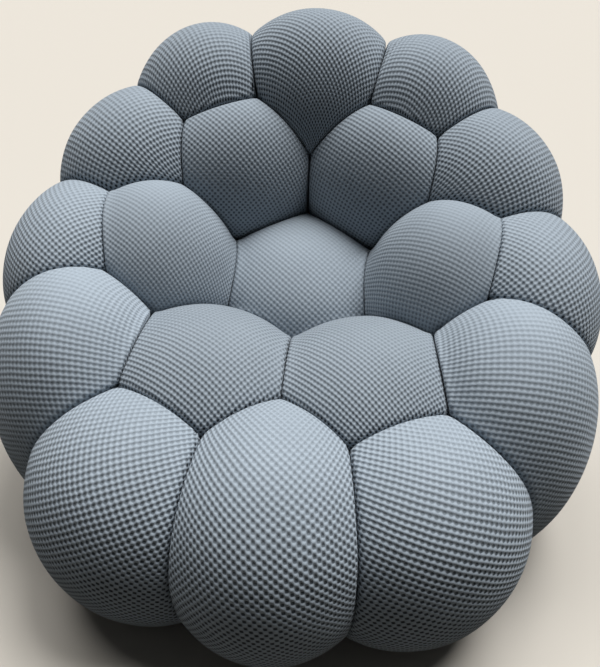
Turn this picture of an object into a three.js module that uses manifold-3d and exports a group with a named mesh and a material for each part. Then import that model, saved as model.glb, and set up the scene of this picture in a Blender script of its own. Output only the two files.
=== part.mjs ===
// Bubble armchair: a bowl of soft foam bubbles in stretch-knit covers, closed all round by a thick rim
// of bubbles. A hidden plywood tub carries them: a base panel on glides, a hexagonal seat frame with
// webbing and a pad, and leaning panels between the inner and the outer bubbles.
// Millimetres, +Z up. The chair faces -Y, stands on z = 0 and is centred on its own footprint.
// Left and right are as seen from the front.

import * as THREE from 'three';
import { ConvexGeometry } from 'three/addons/geometries/ConvexGeometry.js';
import { mergeVertices } from 'three/addons/utils/BufferGeometryUtils.js';
import Module from 'manifold-3d';

const wasm = await Module();
wasm.setup();

// Overall size of the chair
const WIDTH = 1100;
const DEPTH = 1040;
const HEIGHT = 810;

// Air between two pieces that touch on the real chair
const CLEARANCE = 0.3;

// Nylon glides, pressed into the base panel from below
const GLIDE_HEIGHT = 10;
const GLIDE_RADIUS = 20;
const GLIDE_STEM_RADIUS = 4;

// Base panel and the dust cover stapled under it
const DUST_COVER_THICKNESS = 1;
const BASE_PANEL_THICKNESS = 18;
const BASE_PANEL_OVERHANG = 72;

// Seat frame: rails on edge, with a glue block in each corner
const RAIL_THICKNESS = 22;
const RAIL_HEIGHT = 100;
const CORNER_BLOCK_LEG = 70;

// Webbing across the rails, and the pad on it
const WEBBING_WIDTH = 50;
const WEBBING_THICKNESS = 2;
const SEAT_PAD_THICKNESS = 30;

// Leaning panels of the tub
const TUB_PANEL_THICKNESS = 15;

// How deep a glide's stem goes into the base panel, and how high a corner block stands by its rail
const stemDepthShare = 0.7;
const blockHeightShare = 0.85;

// Corners of the seat frame in plan, as shares of half the width and half the depth
const frameCornerShares = [
  [-0.26, -0.42],
  [0.26, -0.42],
  [0.52, 0.06],
  [0.26, 0.54],
  [-0.26, 0.54],
  [-0.52, 0.06],
];
const frameCentreShare = 0.06;
const cornerNames = ['front_left', 'front_right', 'side_right', 'rear_right', 'rear_left', 'side_left'];
const railNames = ['front', 'front_right', 'rear_right', 'rear', 'rear_left', 'front_left'];

// The tub: how much wider it is at the full height than at its foot, and how high its top edge is at
// each corner of the seat frame, as a share of the height. The panels start after the front edge, which
// has none.
const tubFlareShare = 0.58;
const tubTopShares = [0.29, 0.29, 0.47, 0.66, 0.66, 0.47];
const tubPanelNames = [
  'arm_panel_right',
  'wing_panel_right',
  'back_panel',
  'wing_panel_left',
  'arm_panel_left',
];

// Webbing straps each way, and the lengthwise spread of the crosswise ones as a share of the frame
const STRAP_COUNT = 3;
const crossStrapPitchShare = 0.25;

// The bowl's centre in plan, as a share of half the depth. Bubbles face away from it.
const bowlCentreShare = 0.1;

// Bubbles in the middle and on the left. Each row gives the centre, as shares of half the width, half
// the depth and the height. Then come the reach outward and the reach along the rim, as shares of
// both half sizes, and the rise above and the drop below the centre, as shares of the height.
const middleBubbleShares = {
  front_bubble_center: [0, -0.6, 0.26, 0.4, 0.35, 0.27, 0.31],
  seat_bubble_rear: [0, 0.34, 0.39, 0.365, 0.365, 0.205, 0.205],
  back_bubble_center: [0, 0.75, 0.775, 0.25, 0.325, 0.225, 0.225],
};
const leftBubbleShares = {
  front_bubble_left: [-0.395, -0.52, 0.245, 0.365, 0.38, 0.265, 0.295],
  arm_front_bubble_left: [-0.67, -0.145, 0.305, 0.32, 0.39, 0.32, 0.355],
  seat_bubble_left: [-0.25, -0.245, 0.36, 0.35, 0.385, 0.21, 0.21],
  arm_bubble_left: [-0.725, 0.21, 0.475, 0.275, 0.37, 0.23, 0.23],
  side_bubble_left: [-0.5, 0.215, 0.445, 0.295, 0.32, 0.275, 0.275],
  shoulder_bubble_left: [-0.57, 0.535, 0.61, 0.295, 0.335, 0.235, 0.235],
  lumbar_bubble_left: [-0.245, 0.545, 0.635, 0.225, 0.325, 0.21, 0.21],
  back_bubble_left: [-0.365, 0.72, 0.72, 0.275, 0.295, 0.24, 0.24],
  base_bubble_side_left: [-0.72, 0.27, 0.22, 0.27, 0.37, 0.26, 0.3],
  base_bubble_corner_left: [-0.55, 0.61, 0.28, 0.29, 0.36, 0.28, 0.33],
  base_bubble_rear_left: [-0.19, 0.72, 0.31, 0.27, 0.34, 0.29, 0.35],
};
const seatBubbleNames = ['seat_bubble', 'side_bubble'];

// Fineness of the meshes: cuts in each edge of a bubble's icosahedron, sides of a round, points of a
// valley ring and steps of its search
const BUBBLE_SPLIT_COUNT = 3;
const ROUND_SIDE_COUNT = 16;
const RING_POINT_COUNT = 8;
const SEARCH_STEP_COUNT = 12;

// Sizes that follow from the ones above
const halfWidth = WIDTH / 2;
const halfDepth = DEPTH / 2;
const reach = WIDTH + DEPTH + HEIGHT;
const dustCoverBottom = GLIDE_HEIGHT + CLEARANCE;
const basePanelBottom = dustCoverBottom + DUST_COVER_THICKNESS + CLEARANCE;
const basePanelTop = basePanelBottom + BASE_PANEL_THICKNESS;
const stemTop = basePanelBottom + BASE_PANEL_THICKNESS * stemDepthShare;
const railBottom = basePanelTop + CLEARANCE;
const railTop = railBottom + RAIL_HEIGHT;
const lowerStrapBottom = railTop + CLEARANCE;
const upperStrapBottom = lowerStrapBottom + WEBBING_THICKNESS + CLEARANCE;
const padBottom = upperStrapBottom + WEBBING_THICKNESS + CLEARANCE;
const padTop = padBottom + SEAT_PAD_THICKNESS;
const frameCentre = new THREE.Vector2(0, frameCentreShare * halfDepth);
const frameOutline = frameCornerShares.map(([x, y]) => new THREE.Vector2(x * halfWidth, y * halfDepth));

// Materials
function finish(color, roughness, metalness = 0) {
  return { color, roughness, metalness };
}
const KNIT = finish(0x8094a6, 0.95);
const PLYWOOD = finish(0xc9a877, 0.7);
const PINE = finish(0xd8b983, 0.75);
const WEBBING = finish(0x3b3c40, 0.9);
const PAD_FOAM = finish(0xe6dfc8, 0.95);
const DUST_CLOTH = finish(0x26272a, 0.95);
const NYLON = finish(0x1e1f21, 0.5);

const chair = new THREE.Group();

function addPiece(name, geometry, look) {
  const mesh = new THREE.Mesh(geometry, new THREE.MeshStandardMaterial(look));
  mesh.name = name;
  chair.add(mesh);
  return mesh;
}

// Solids: a three.js geometry becomes a manifold solid for cutting, and the cut solid comes back

function toSolid(geometry) {
  const bare = geometry.clone();
  for (const attribute of Object.keys(bare.attributes)) {
    if (attribute !== 'position') {
      bare.deleteAttribute(attribute);
    }
  }
  const merged = mergeVertices(bare);
  const vertProperties = new Float32Array(merged.attributes.position.array);
  const triVerts = new Uint32Array(merged.index.array);
  return new wasm.Manifold(new wasm.Mesh({ numProp: 3, vertProperties, triVerts }));
}

function toGeometry(solid) {
  const mesh = solid.getMesh();
  const geometry = new THREE.BufferGeometry();
  geometry.setAttribute('position', new THREE.BufferAttribute(mesh.vertProperties, mesh.numProp));
  geometry.setIndex(new THREE.BufferAttribute(mesh.triVerts, 1));
  return geometry;
}

function largestBody(solid) {
  const bodies = solid.decompose();
  return bodies.reduce((best, body) => (body.volume() > best.volume() ? body : best));
}

// Outlines: a convex outline moved outward by a distance, and an upright slab over an outline

function edgeDirection(outline, k) {
  return outline[(k + 1) % outline.length].clone().sub(outline[k]).normalize();
}

function offsetOutline(outline, distance) {
  const count = outline.length;
  return outline.map((corner, k) => {
    const before = edgeDirection(outline, (k + count - 1) % count);
    const after = edgeDirection(outline, k);
    const bisector = new THREE.Vector2(before.y + after.y, -before.x - after.x);
    return corner.clone().addScaledVector(bisector, distance / (1 + before.dot(after)));
  });
}

function slab(outline, bottom, top) {
  const points = [bottom, top].flatMap((z) => outline.map(({ x, y }) => new THREE.Vector3(x, y, z)));
  return new ConvexGeometry(points);
}

// The strip of board along edge k between two outlines, with both ends cut back by a clearance

function edgeStrip(outer, inner, k) {
  const next = (k + 1) % outer.length;
  const pull = edgeDirection(outer, k).multiplyScalar(CLEARANCE);
  return [
    outer[k].clone().add(pull),
    outer[next].clone().sub(pull),
    inner[next].clone().sub(pull),
    inner[k].clone().add(pull),
  ];
}

// Glides, dust cover and base panel

function turned(profile) {
  const points = profile.map(([r, z]) => new THREE.Vector2(r, z));
  return new THREE.LatheGeometry(points, ROUND_SIDE_COUNT).rotateX(Math.PI / 2);
}

function glideGeometry() {
  return turned([
    [0, 0],
    [GLIDE_RADIUS, 0],
    [GLIDE_RADIUS, GLIDE_HEIGHT],
    [GLIDE_STEM_RADIUS, GLIDE_HEIGHT],
    [GLIDE_STEM_RADIUS, stemTop],
    [0, stemTop],
  ]);
}

function stemHoles() {
  const radius = GLIDE_STEM_RADIUS + CLEARANCE;
  const top = stemTop + CLEARANCE;
  const profile = [[0, 0], [radius, 0], [radius, top], [0, top]];
  return glidePlaces.map(({ x, y }) => toSolid(turned(profile).translate(x, y, 0)));
}

const blockOutline = offsetOutline(frameOutline, -RAIL_THICKNESS - CLEARANCE);
const glidePlaces = offsetOutline(frameOutline, -RAIL_THICKNESS - GLIDE_RADIUS);
const panelOutline = offsetOutline(frameOutline, BASE_PANEL_OVERHANG);

function addBase() {
  glidePlaces.forEach(({ x, y }, k) => {
    addPiece(`glide_${cornerNames[k]}`, glideGeometry(), NYLON).position.set(x, y, 0);
  });
  let cover = toSolid(slab(panelOutline, dustCoverBottom, dustCoverBottom + DUST_COVER_THICKNESS));
  let panel = toSolid(slab(panelOutline, basePanelBottom, basePanelTop));
  for (const hole of stemHoles()) {
    cover = cover.subtract(hole);
    panel = panel.subtract(hole);
  }
  addPiece('dust_cover', toGeometry(cover), DUST_CLOTH);
  addPiece('base_panel', toGeometry(panel), PLYWOOD);
}

// Seat frame: six rails, mitred at the corners, and a three-sided block in each corner

function addSeatFrame() {
  const inner = offsetOutline(frameOutline, -RAIL_THICKNESS);
  railNames.forEach((name, k) => {
    addPiece(`${name}_rail`, slab(edgeStrip(frameOutline, inner, k), railBottom, railTop), PLYWOOD);
  });
  const count = blockOutline.length;
  cornerNames.forEach((name, k) => {
    const corner = blockOutline[k];
    const forward = edgeDirection(blockOutline, k);
    const backward = edgeDirection(blockOutline, (k + count - 1) % count);
    const outline = [
      corner,
      corner.clone().addScaledVector(forward, CORNER_BLOCK_LEG),
      corner.clone().addScaledVector(backward, -CORNER_BLOCK_LEG),
    ];
    const top = railBottom + RAIL_HEIGHT * blockHeightShare;
    addPiece(`corner_block_${name}`, slab(outline, railBottom, top), PINE);
  });
}

// Webbing: straps from the front to the rear rail, then straps across them, and the seat pad on top

function frameHalfWidthAt(y) {
  const [side, rear] = [frameOutline[2], frameOutline[3]];
  const run = Math.abs(y - frameCentre.y) / (rear.y - frameCentre.y);
  return side.x + (rear.x - side.x) * run;
}

function strap(x0, x1, y0, y1, bottom) {
  const corners = [[x0, y0], [x1, y0], [x1, y1], [x0, y1]].map(([x, y]) => new THREE.Vector2(x, y));
  return slab(corners, bottom, bottom + WEBBING_THICKNESS);
}

function addSeat() {
  const half = WEBBING_WIDTH / 2;
  const front = frameOutline[0].y;
  const rear = frameOutline[3].y;
  const longPitch = (frameOutline[1].x - frameOutline[0].x) / STRAP_COUNT;
  const crossPitch = (rear - front) * crossStrapPitchShare;
  for (let k = 0; k < STRAP_COUNT; k += 1) {
    const place = k - (STRAP_COUNT - 1) / 2;
    const x = place * longPitch;
    const y = frameCentre.y + place * crossPitch;
    const length = frameHalfWidthAt(frameCentre.y + Math.abs(place) * crossPitch + half);
    const long = strap(x - half, x + half, front, rear, lowerStrapBottom);
    const cross = strap(-length, length, y - half, y + half, upperStrapBottom);
    addPiece(`webbing_long_${k + 1}`, long, WEBBING);
    addPiece(`webbing_cross_${k + 1}`, cross, WEBBING);
  }
  addPiece('seat_pad', slab(offsetOutline(frameOutline, -CLEARANCE), padBottom, padTop), PAD_FOAM);
}

// Tub: a leaning panel over each edge of the seat frame but the front one. At a height, the tub's
// outline is the foot outline moved out from the frame's centre, so neighbours share a mitre.

function tubPoint(foot, k, height) {
  const spread = (tubFlareShare * height) / HEIGHT;
  const lean = frameOutline[k].clone().sub(frameCentre).multiplyScalar(spread);
  return new THREE.Vector3(foot.x + lean.x, foot.y + lean.y, basePanelTop + height);
}

function tubPanel(k, extra) {
  const inner = offsetOutline(frameOutline, CLEARANCE - extra);
  const outer = offsetOutline(inner, TUB_PANEL_THICKNESS + 2 * extra);
  const next = (k + 1) % inner.length;
  const pull = edgeDirection(inner, k).multiplyScalar(CLEARANCE - 2 * extra);
  const points = [];
  for (const outline of [inner, outer]) {
    for (const [corner, move] of [[k, pull], [next, pull.clone().negate()]]) {
      const foot = outline[corner].clone().add(move);
      const top = tubTopShares[corner] * HEIGHT - basePanelTop;
      points.push(tubPoint(foot, corner, CLEARANCE - extra), tubPoint(foot, corner, top + extra));
    }
  }
  return new ConvexGeometry(points);
}

function addTub() {
  tubPanelNames.forEach((name, k) => {
    addPiece(name, tubPanel(k + 1, 0), PLYWOOD);
  });
}

// Bubbles: each is a stretched ball that faces away from the bowl's centre

function makeBubble(name, [x, y, z, out, along, rise, drop]) {
  const facing = Math.atan2(x, y - bowlCentreShare);
  const outward = new THREE.Vector2(Math.sin(facing), Math.cos(facing));
  const centre = new THREE.Vector3(x * halfWidth, y * halfDepth, z * HEIGHT);
  return { name, centre, outward, out, along, rise: rise * HEIGHT, drop: drop * HEIGHT };
}

// The ball's own coordinates of a point: on its surface their length is 1

function toBall(bubble, point) {
  const x = (point.x - bubble.centre.x) / halfWidth;
  const y = (point.y - bubble.centre.y) / halfDepth;
  const z = point.z - bubble.centre.z;
  const { outward, out, along, rise, drop } = bubble;
  const radial = (x * outward.x + y * outward.y) / out;
  const side = (x * outward.y - y * outward.x) / along;
  return new THREE.Vector3(side, radial, z > 0 ? z / rise : z / drop);
}

function fromBall(bubble, ball) {
  const { centre, outward, out, along, rise, drop } = bubble;
  const radial = ball.y * out;
  const side = ball.x * along;
  const x = (radial * outward.x + side * outward.y) * halfWidth;
  const y = (radial * outward.y - side * outward.x) * halfDepth;
  return new THREE.Vector3(x, y, ball.z * (ball.z > 0 ? rise : drop)).add(centre);
}

function ballSolid(bubble) {
  const geometry = new THREE.IcosahedronGeometry(1, BUBBLE_SPLIT_COUNT);
  const place = geometry.attributes.position;
  const vertex = new THREE.Vector3();
  for (let k = 0; k < place.count; k += 1) {
    vertex.fromBufferAttribute(place, k);
    const { x, y, z } = fromBall(bubble, vertex);
    place.setXYZ(k, x, y, z);
  }
  return toSolid(geometry);
}

// The point between two centres that is as deep in one ball as in the other

function waistPoint(a, b) {
  let low = 0;
  let high = 1;
  const point = new THREE.Vector3();
  for (let step = 0; step < 2 * SEARCH_STEP_COUNT; step += 1) {
    const middle = (low + high) / 2;
    point.lerpVectors(a.centre, b.centre, middle);
    if (toBall(a, point).length() < toBall(b, point).length()) {
      low = middle;
    } else {
      high = middle;
    }
  }
  return point;
}

// A point where two balls' surfaces cross, in the plane of the line between their centres and a
// given direction. Each step lands on both surfaces as their slopes foresee.

function crossingPoint(a, b, waist, axis, direction, start) {
  const slope = (bubble, point, way) => {
    const ahead = toBall(bubble, point.clone().add(way)).length();
    const behind = toBall(bubble, point.clone().sub(way)).length();
    return (ahead - behind) / 2;
  };
  const aside = direction.clone().multiplyScalar(CLEARANCE);
  const along = axis.clone().multiplyScalar(CLEARANCE);
  const point = waist.clone().addScaledVector(direction, start);
  for (let step = 0; step < SEARCH_STEP_COUNT; step += 1) {
    const missA = 1 - toBall(a, point).length();
    const missB = 1 - toBall(b, point).length();
    const [asideA, asideB] = [slope(a, point, aside), slope(b, point, aside)];
    const [alongA, alongB] = [slope(a, point, along), slope(b, point, along)];
    const scale = asideA * alongB - asideB * alongA;
    point.addScaledVector(aside, (missA * alongB - missB * alongA) / scale);
    point.addScaledVector(along, (missB * asideA - missA * asideB) / scale);
  }
  return point;
}

// The valley between two bubbles runs round the ring where their balls cross. The flat joint between
// them is the mean plane of that ring. Bubbles whose balls don't meet have none.

function jointPlane(a, b) {
  const waist = waistPoint(a, b);
  const depth = toBall(a, waist).length();
  if (depth >= 1) {
    return null;
  }
  const axis = b.centre.clone().sub(a.centre).normalize();
  const up = Math.abs(axis.z) < Math.SQRT1_2 ? new THREE.Vector3(0, 0, 1) : new THREE.Vector3(0, 1, 0);
  const first = up.cross(axis).normalize();
  const start = Math.min(a.out, b.out) * halfWidth * Math.sqrt(1 - depth * depth);
  const ring = [];
  for (let k = 0; k < RING_POINT_COUNT; k += 1) {
    const direction = first.clone().applyAxisAngle(axis, (2 * Math.PI * k) / RING_POINT_COUNT);
    ring.push(crossingPoint(a, b, waist, axis, direction, start));
  }
  const middle = new THREE.Vector3();
  ring.forEach((point) => middle.addScaledVector(point, 1 / RING_POINT_COUNT));
  const normal = new THREE.Vector3();
  ring.forEach((point, k) => {
    const next = ring[(k + 1) % RING_POINT_COUNT];
    normal.add(point.clone().sub(middle).cross(next.clone().sub(middle)));
  });
  return { point: middle, normal: normal.normalize() };
}

// A block that fills everything past a plane

function blockBeyond(point, normal, gap) {
  const block = new THREE.BoxGeometry(reach, reach, reach).translate(0, 0, reach / 2 + gap);
  const turn = new THREE.Quaternion().setFromUnitVectors(new THREE.Vector3(0, 0, 1), normal);
  return toSolid(block.applyQuaternion(turn).translate(point.x, point.y, point.z));
}

function addBubbles() {
  const bubbles = [];
  for (const [name, row] of Object.entries(middleBubbleShares)) {
    bubbles.push(makeBubble(name, row));
  }
  for (const [name, row] of Object.entries(leftBubbleShares)) {
    bubbles.push(makeBubble(name, row));
    bubbles.push(makeBubble(name.replace('left', 'right'), [-row[0], ...row.slice(1)]));
  }
  const down = new THREE.Vector3(0, 0, -1);
  const seatFloor = blockBeyond(new THREE.Vector3(0, 0, padTop), down, -CLEARANCE);
  const underside = blockBeyond(new THREE.Vector3(0, 0, GLIDE_HEIGHT), down, 0);
  const frameSpace = [
    toSolid(slab(offsetOutline(panelOutline, CLEARANCE), 0, basePanelTop + CLEARANCE)),
    toSolid(slab(offsetOutline(frameOutline, CLEARANCE), 0, padTop + CLEARANCE)),
    ...tubPanelNames.map((name, k) => toSolid(tubPanel(k + 1, CLEARANCE))),
  ];
  for (const bubble of bubbles) {
    let solid = ballSolid(bubble);
    for (const other of bubbles) {
      const plane = other === bubble ? null : jointPlane(bubble, other);
      if (plane) {
        solid = solid.subtract(blockBeyond(plane.point, plane.normal, -CLEARANCE / 2));
      }
    }
    const onSeat = seatBubbleNames.some((start) => bubble.name.startsWith(start));
    solid = solid.subtract(onSeat ? seatFloor : underside);
    for (const space of frameSpace) {
      solid = solid.subtract(space);
    }
    addPiece(bubble.name, toGeometry(largestBody(solid)), KNIT);
  }
}

addBase();
addSeatFrame();
addSeat();
addTub();
addBubbles();

export default chair;
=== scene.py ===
"""Looks of the bubble armchair: a bowl of foam bubbles in a stretch knit on a hidden plywood tub.

Metres, +Z up, and the chair faces -Y. Left and right are as seen from the front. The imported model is
the fixed frame. Each section below makes one piece of the real chair, or a group of like pieces, in
the order in which the chair is put together.
"""

import math

import bpy
import numpy as np
from mathutils import Matrix, Vector, geometry, noise
from mathutils.bvhtree import BVHTree


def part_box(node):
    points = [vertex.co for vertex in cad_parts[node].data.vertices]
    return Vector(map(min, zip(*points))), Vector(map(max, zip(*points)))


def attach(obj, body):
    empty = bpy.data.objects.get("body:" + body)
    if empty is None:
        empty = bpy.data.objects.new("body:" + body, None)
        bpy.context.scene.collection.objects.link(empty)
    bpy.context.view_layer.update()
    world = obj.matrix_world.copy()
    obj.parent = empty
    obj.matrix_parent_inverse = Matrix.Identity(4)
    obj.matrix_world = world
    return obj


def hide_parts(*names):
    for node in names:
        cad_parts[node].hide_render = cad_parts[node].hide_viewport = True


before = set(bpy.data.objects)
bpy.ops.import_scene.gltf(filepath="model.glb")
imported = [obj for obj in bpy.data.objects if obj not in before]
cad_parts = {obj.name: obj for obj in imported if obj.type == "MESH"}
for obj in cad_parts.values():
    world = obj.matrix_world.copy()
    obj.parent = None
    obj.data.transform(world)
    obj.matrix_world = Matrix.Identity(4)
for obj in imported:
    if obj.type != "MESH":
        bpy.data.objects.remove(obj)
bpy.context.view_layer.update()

# Camera
# The photograph looks down into the bowl from in front of the chair, a hand's breadth to its right.
# It was taken with a phone's wide lens, close enough for the front bubbles to look large.
photo_height = 667
photo_focal_length = 828
sensor = 36
camera_place = Vector((0.0986, -1.1553, 1.3163))
camera_pitch = math.radians(39.42)
camera_yaw = math.radians(4.31)
camera_roll = math.radians(1.77)

camera_data = bpy.data.cameras.new("camera")
camera_data.sensor_fit = "VERTICAL"
camera_data.sensor_height = sensor
camera_data.sensor_width = sensor
camera_data.lens = photo_focal_length / photo_height * sensor
camera = bpy.data.objects.new("camera", camera_data)
bpy.context.scene.collection.objects.link(camera)
camera_turn = (
    Matrix.Rotation(camera_yaw, 4, "Z")
    @ Matrix.Rotation(math.pi / 2 - camera_pitch, 4, "X")
    @ Matrix.Rotation(camera_roll, 4, "Z")
)
camera.matrix_world = Matrix.Translation(camera_place) @ camera_turn
bpy.context.scene.camera = camera


# Glides
# Six low feet of moulded black nylon. Each has a flat sole with a rounded rim, and a stem that is
# pressed into the base panel from below.
def linear(colour):
    """An sRGB hex colour, such as "#8094A6", as linear RGBA."""
    parts = [int(colour[k:k + 2], 16) / 255 for k in (1, 3, 5)]
    toned = [p / 12.92 if p <= 0.04045 else ((p + 0.055) / 1.055) ** 2.4 for p in parts]
    return (*toned, 1.0)


def add_node(tree, kind, inputs=None, **settings):
    """Adds a node with its settings. An input takes a value, or the output that feeds it."""
    node = tree.nodes.new(kind)
    for name, value in settings.items():
        setattr(node, name, value)
    for socket, value in (inputs or {}).items():
        if isinstance(value, bpy.types.NodeSocket):
            tree.links.new(value, node.inputs[socket])
        else:
            node.inputs[socket].default_value = value
    return node


def new_finish(name):
    """An empty node material, and its tree."""
    finish = bpy.data.materials.new(name)
    finish.use_nodes = True
    finish.node_tree.nodes.clear()
    return finish, finish.node_tree


def show_finish(tree, shader):
    """The shader is what the material shows."""
    add_node(tree, "ShaderNodeOutputMaterial", {"Surface": shader.outputs[0]})


def add_piece(name, points, faces, finish):
    """A smooth mesh from points and faces, with one finish."""
    mesh = bpy.data.meshes.new(name)
    mesh.from_pydata([tuple(p) for p in points], [], faces)
    mesh.polygons.foreach_set("use_smooth", [True] * len(mesh.polygons))
    mesh.materials.append(finish)
    mesh.validate()
    piece = bpy.data.objects.new(name, mesh)
    bpy.context.scene.collection.objects.link(piece)
    return piece


corner_names = ["front_left", "front_right", "side_right", "rear_right", "rear_left", "side_left"]

# Moulded nylon 6: a satin black with the even grain of a spark-eroded mould. The real grain is ten times
# finer, and is drawn coarser so that it shows.
nylon_grain = 0.0006
moulded_nylon, tree = new_finish("moulded_nylon")
spot = add_node(tree, "ShaderNodeTexCoord")
grain = add_node(
    tree, "ShaderNodeTexNoise",
    {"Vector": spot.outputs["Object"], "Scale": 1 / nylon_grain, "Detail": 2.0},
)
shade = add_node(
    tree, "ShaderNodeMix",
    {"Factor": grain.outputs["Fac"], "A": linear("#191A1C"), "B": linear("#232427")},
    data_type="RGBA",
)
relief = add_node(
    tree, "ShaderNodeBump",
    {"Height": grain.outputs["Fac"], "Strength": 0.4, "Distance": nylon_grain / 4},
)
nylon_shader = add_node(
    tree, "ShaderNodeBsdfPrincipled",
    {
        "Base Color": shade.outputs["Result"],
        "Roughness": 0.48,
        "IOR": 1.53,
        "Normal": relief.outputs["Normal"],
    },
)
show_finish(tree, nylon_shader)


def turned(profile, centre, sides):
    """Points and faces of a round piece. The profile's points are (radius, height), axis to axis."""
    points = []
    for radius, height in profile[1:-1]:
        for k in range(sides):
            angle = 2 * math.pi * k / sides
            points.append(centre + Vector((radius * math.cos(angle), radius * math.sin(angle), height)))
    faces = []
    rings = len(profile) - 2
    for ring in range(rings - 1):
        for k in range(sides):
            after = (k + 1) % sides
            low, high = ring * sides, (ring + 1) * sides
            faces.append((low + k, low + after, high + after, high + k))
    bottom, top = len(points), len(points) + 1
    points.append(centre + Vector((0, 0, profile[0][1])))
    points.append(centre + Vector((0, 0, profile[-1][1])))
    last = (rings - 1) * sides
    for k in range(sides):
        after = (k + 1) % sides
        faces.append((bottom, after, k))
        faces.append((top, last + k, last + after))
    return points, faces


glide_sides = 64
glide_rim = 0.003
glide_rim_steps = 6
glide_bevel = 0.0015
glide_stem = 0.004
glide_clearance = 0.0003
glide_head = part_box("dust_cover")[0].z - glide_clearance
for corner in corner_names:
    low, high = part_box(f"glide_{corner}")
    radius = (high.x - low.x) / 2
    centre = Vector(((low.x + high.x) / 2, (low.y + high.y) / 2, 0))
    profile = [(0, 0)]
    for k in range(glide_rim_steps + 1):
        turn = math.pi / 2 * k / glide_rim_steps
        profile.append((radius - glide_rim * (1 - math.sin(turn)), glide_rim * (1 - math.cos(turn))))
    profile += [
        (radius, glide_head - glide_bevel),
        (radius - glide_bevel, glide_head),
        (glide_stem + glide_bevel, glide_head),
        (glide_stem, glide_head + glide_bevel),
        (glide_stem, high.z - glide_bevel),
        (glide_stem - glide_bevel, high.z),
        (0, high.z),
    ]
    points, faces = turned(profile, centre, glide_sides)
    glide = add_piece(f"nylon_glide_{corner}", points, faces, moulded_nylon)
    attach(glide, "root")
    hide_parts(f"glide_{corner}")

# Dust cover
# Black spunbond polypropylene that closes the chair from below. It is cut to the base panel and stapled
# to it along the edge, so it puckers a little between the staples. The glides' stems go through it.
def outline_of(node):
    """The corners of a board's outline in plan, turning left."""
    plan = [vertex.co.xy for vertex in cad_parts[node].data.vertices]
    return [plan[k] for k in geometry.convex_hull_2d(plan)]


def edge_places(outline, point):
    """How far in from each edge of the outline a point is, and how far along that edge."""
    places = []
    for a, b in zip(outline, outline[1:] + outline[:1]):
        along = (b - a).normalized()
        inward = (point - a).dot(Vector((-along.y, along.x)))
        places.append((inward, (point - a).dot(along)))
    return places


def smooth_step(share):
    """A share that leaves 0 and reaches 1 gently."""
    share = min(1, max(0, share))
    return share * share * (3 - 2 * share)


# Spunbond cloth: matt black, with pale fibres that swirl and a grid of tiny bonded points
bond_pitch = 0.0012
fibre_swirl = 0.0048
bond_depth = 0.0002
spunbond, tree = new_finish("spunbond_polypropylene")
spot = add_node(tree, "ShaderNodeTexCoord")
fibres = add_node(
    tree, "ShaderNodeTexNoise",
    {"Vector": spot.outputs["Object"], "Scale": 1 / fibre_swirl, "Detail": 6.0, "Distortion": 1.5},
)
bonds = add_node(
    tree, "ShaderNodeTexVoronoi",
    {"Vector": spot.outputs["Object"], "Scale": 1 / bond_pitch, "Randomness": 0.2},
    feature="F1",
)
shade = add_node(
    tree, "ShaderNodeMix",
    {"Factor": fibres.outputs["Fac"], "A": linear("#17181A"), "B": linear("#303236")},
    data_type="RGBA",
)
relief = add_node(
    tree, "ShaderNodeBump",
    {"Height": bonds.outputs["Distance"], "Strength": 0.5, "Distance": bond_depth},
)
cloth_shader = add_node(
    tree, "ShaderNodeBsdfPrincipled",
    {"Base Color": shade.outputs["Result"], "Roughness": 0.85, "Normal": relief.outputs["Normal"]},
)
show_finish(tree, cloth_shader)

cloth_thickness = 0.0004
cloth_step = 0.012
staple_pitch = 0.06
pucker_height = 0.0004
pucker_reach = 0.03
cloth_sag = 0.0012
sag_reach = 0.12
stem_hole = 0.0043
hole_sides = 16
cover_low, cover_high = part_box("dust_cover")
cloth_outline = outline_of("dust_cover")
cloth_points = list(cloth_outline)
rims = [list(range(len(cloth_outline)))]
for corner in corner_names:
    low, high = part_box(f"glide_{corner}")
    middle = ((low + high) / 2).xy
    rims.append(list(range(len(cloth_points), len(cloth_points) + hole_sides)))
    for k in range(hole_sides):
        angle = 2 * math.pi * k / hole_sides
        cloth_points.append(middle + stem_hole * Vector((math.cos(angle), math.sin(angle))))
holes = [cloth_points[rim[0]] - Vector((stem_hole, 0)) for rim in rims[1:]]
for row in range(math.ceil((cover_high.y - cover_low.y) / cloth_step)):
    for column in range(math.ceil((cover_high.x - cover_low.x) / cloth_step)):
        point = cover_low.xy + cloth_step * Vector((column + row % 2 / 2, row))
        clear = min((point - hole).length for hole in holes) > 2 * stem_hole
        if clear and min(edge_places(cloth_outline, point))[0] > cloth_step / 2:
            cloth_points.append(point)
# Triangles within the outline, with the holes left open
triangles = geometry.delaunay_2d_cdt(cloth_points, [], rims, 2, 1e-6)
plan, faces = triangles[0], triangles[2]
cloth_shape = []
for point in plan:
    places = edge_places(cloth_outline, point)
    inward, along = min(places)
    wave = math.cos(2 * math.pi * along / staple_pitch)
    pucker = pucker_height * math.exp(-inward / pucker_reach) * wave
    away = [inward for inward, along in places] + [(point - hole).length for hole in holes]
    sag = cloth_sag * math.prod(smooth_step(distance / sag_reach) for distance in away)
    level = cover_high.z - cloth_thickness - pucker_height - pucker - sag
    cloth_shape.append((point.x, point.y, level))
dust_cloth = add_piece("dust_cover_cloth", cloth_shape, faces, spunbond)
wall = dust_cloth.modifiers.new("thickness", "SOLIDIFY")
wall.thickness = cloth_thickness
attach(dust_cloth, "root")
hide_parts("dust_cover")

# Base panel
# One hexagon of 18 mm birch plywood that carries the seat frame, the tub and all bubbles. Its face
# veneer is rotary cut, so its grain is faint and wide. Its edges show the plies, every other one in
# darker end grain.
ply_thickness = 0.0014
face_margin = 0.02
streak_length = 0.25
streak_width = 0.012


def give_finish(node, finish):
    """The CAD node keeps its shape and takes the finish."""
    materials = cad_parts[node].data.materials
    materials.clear()
    materials.append(finish)


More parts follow.
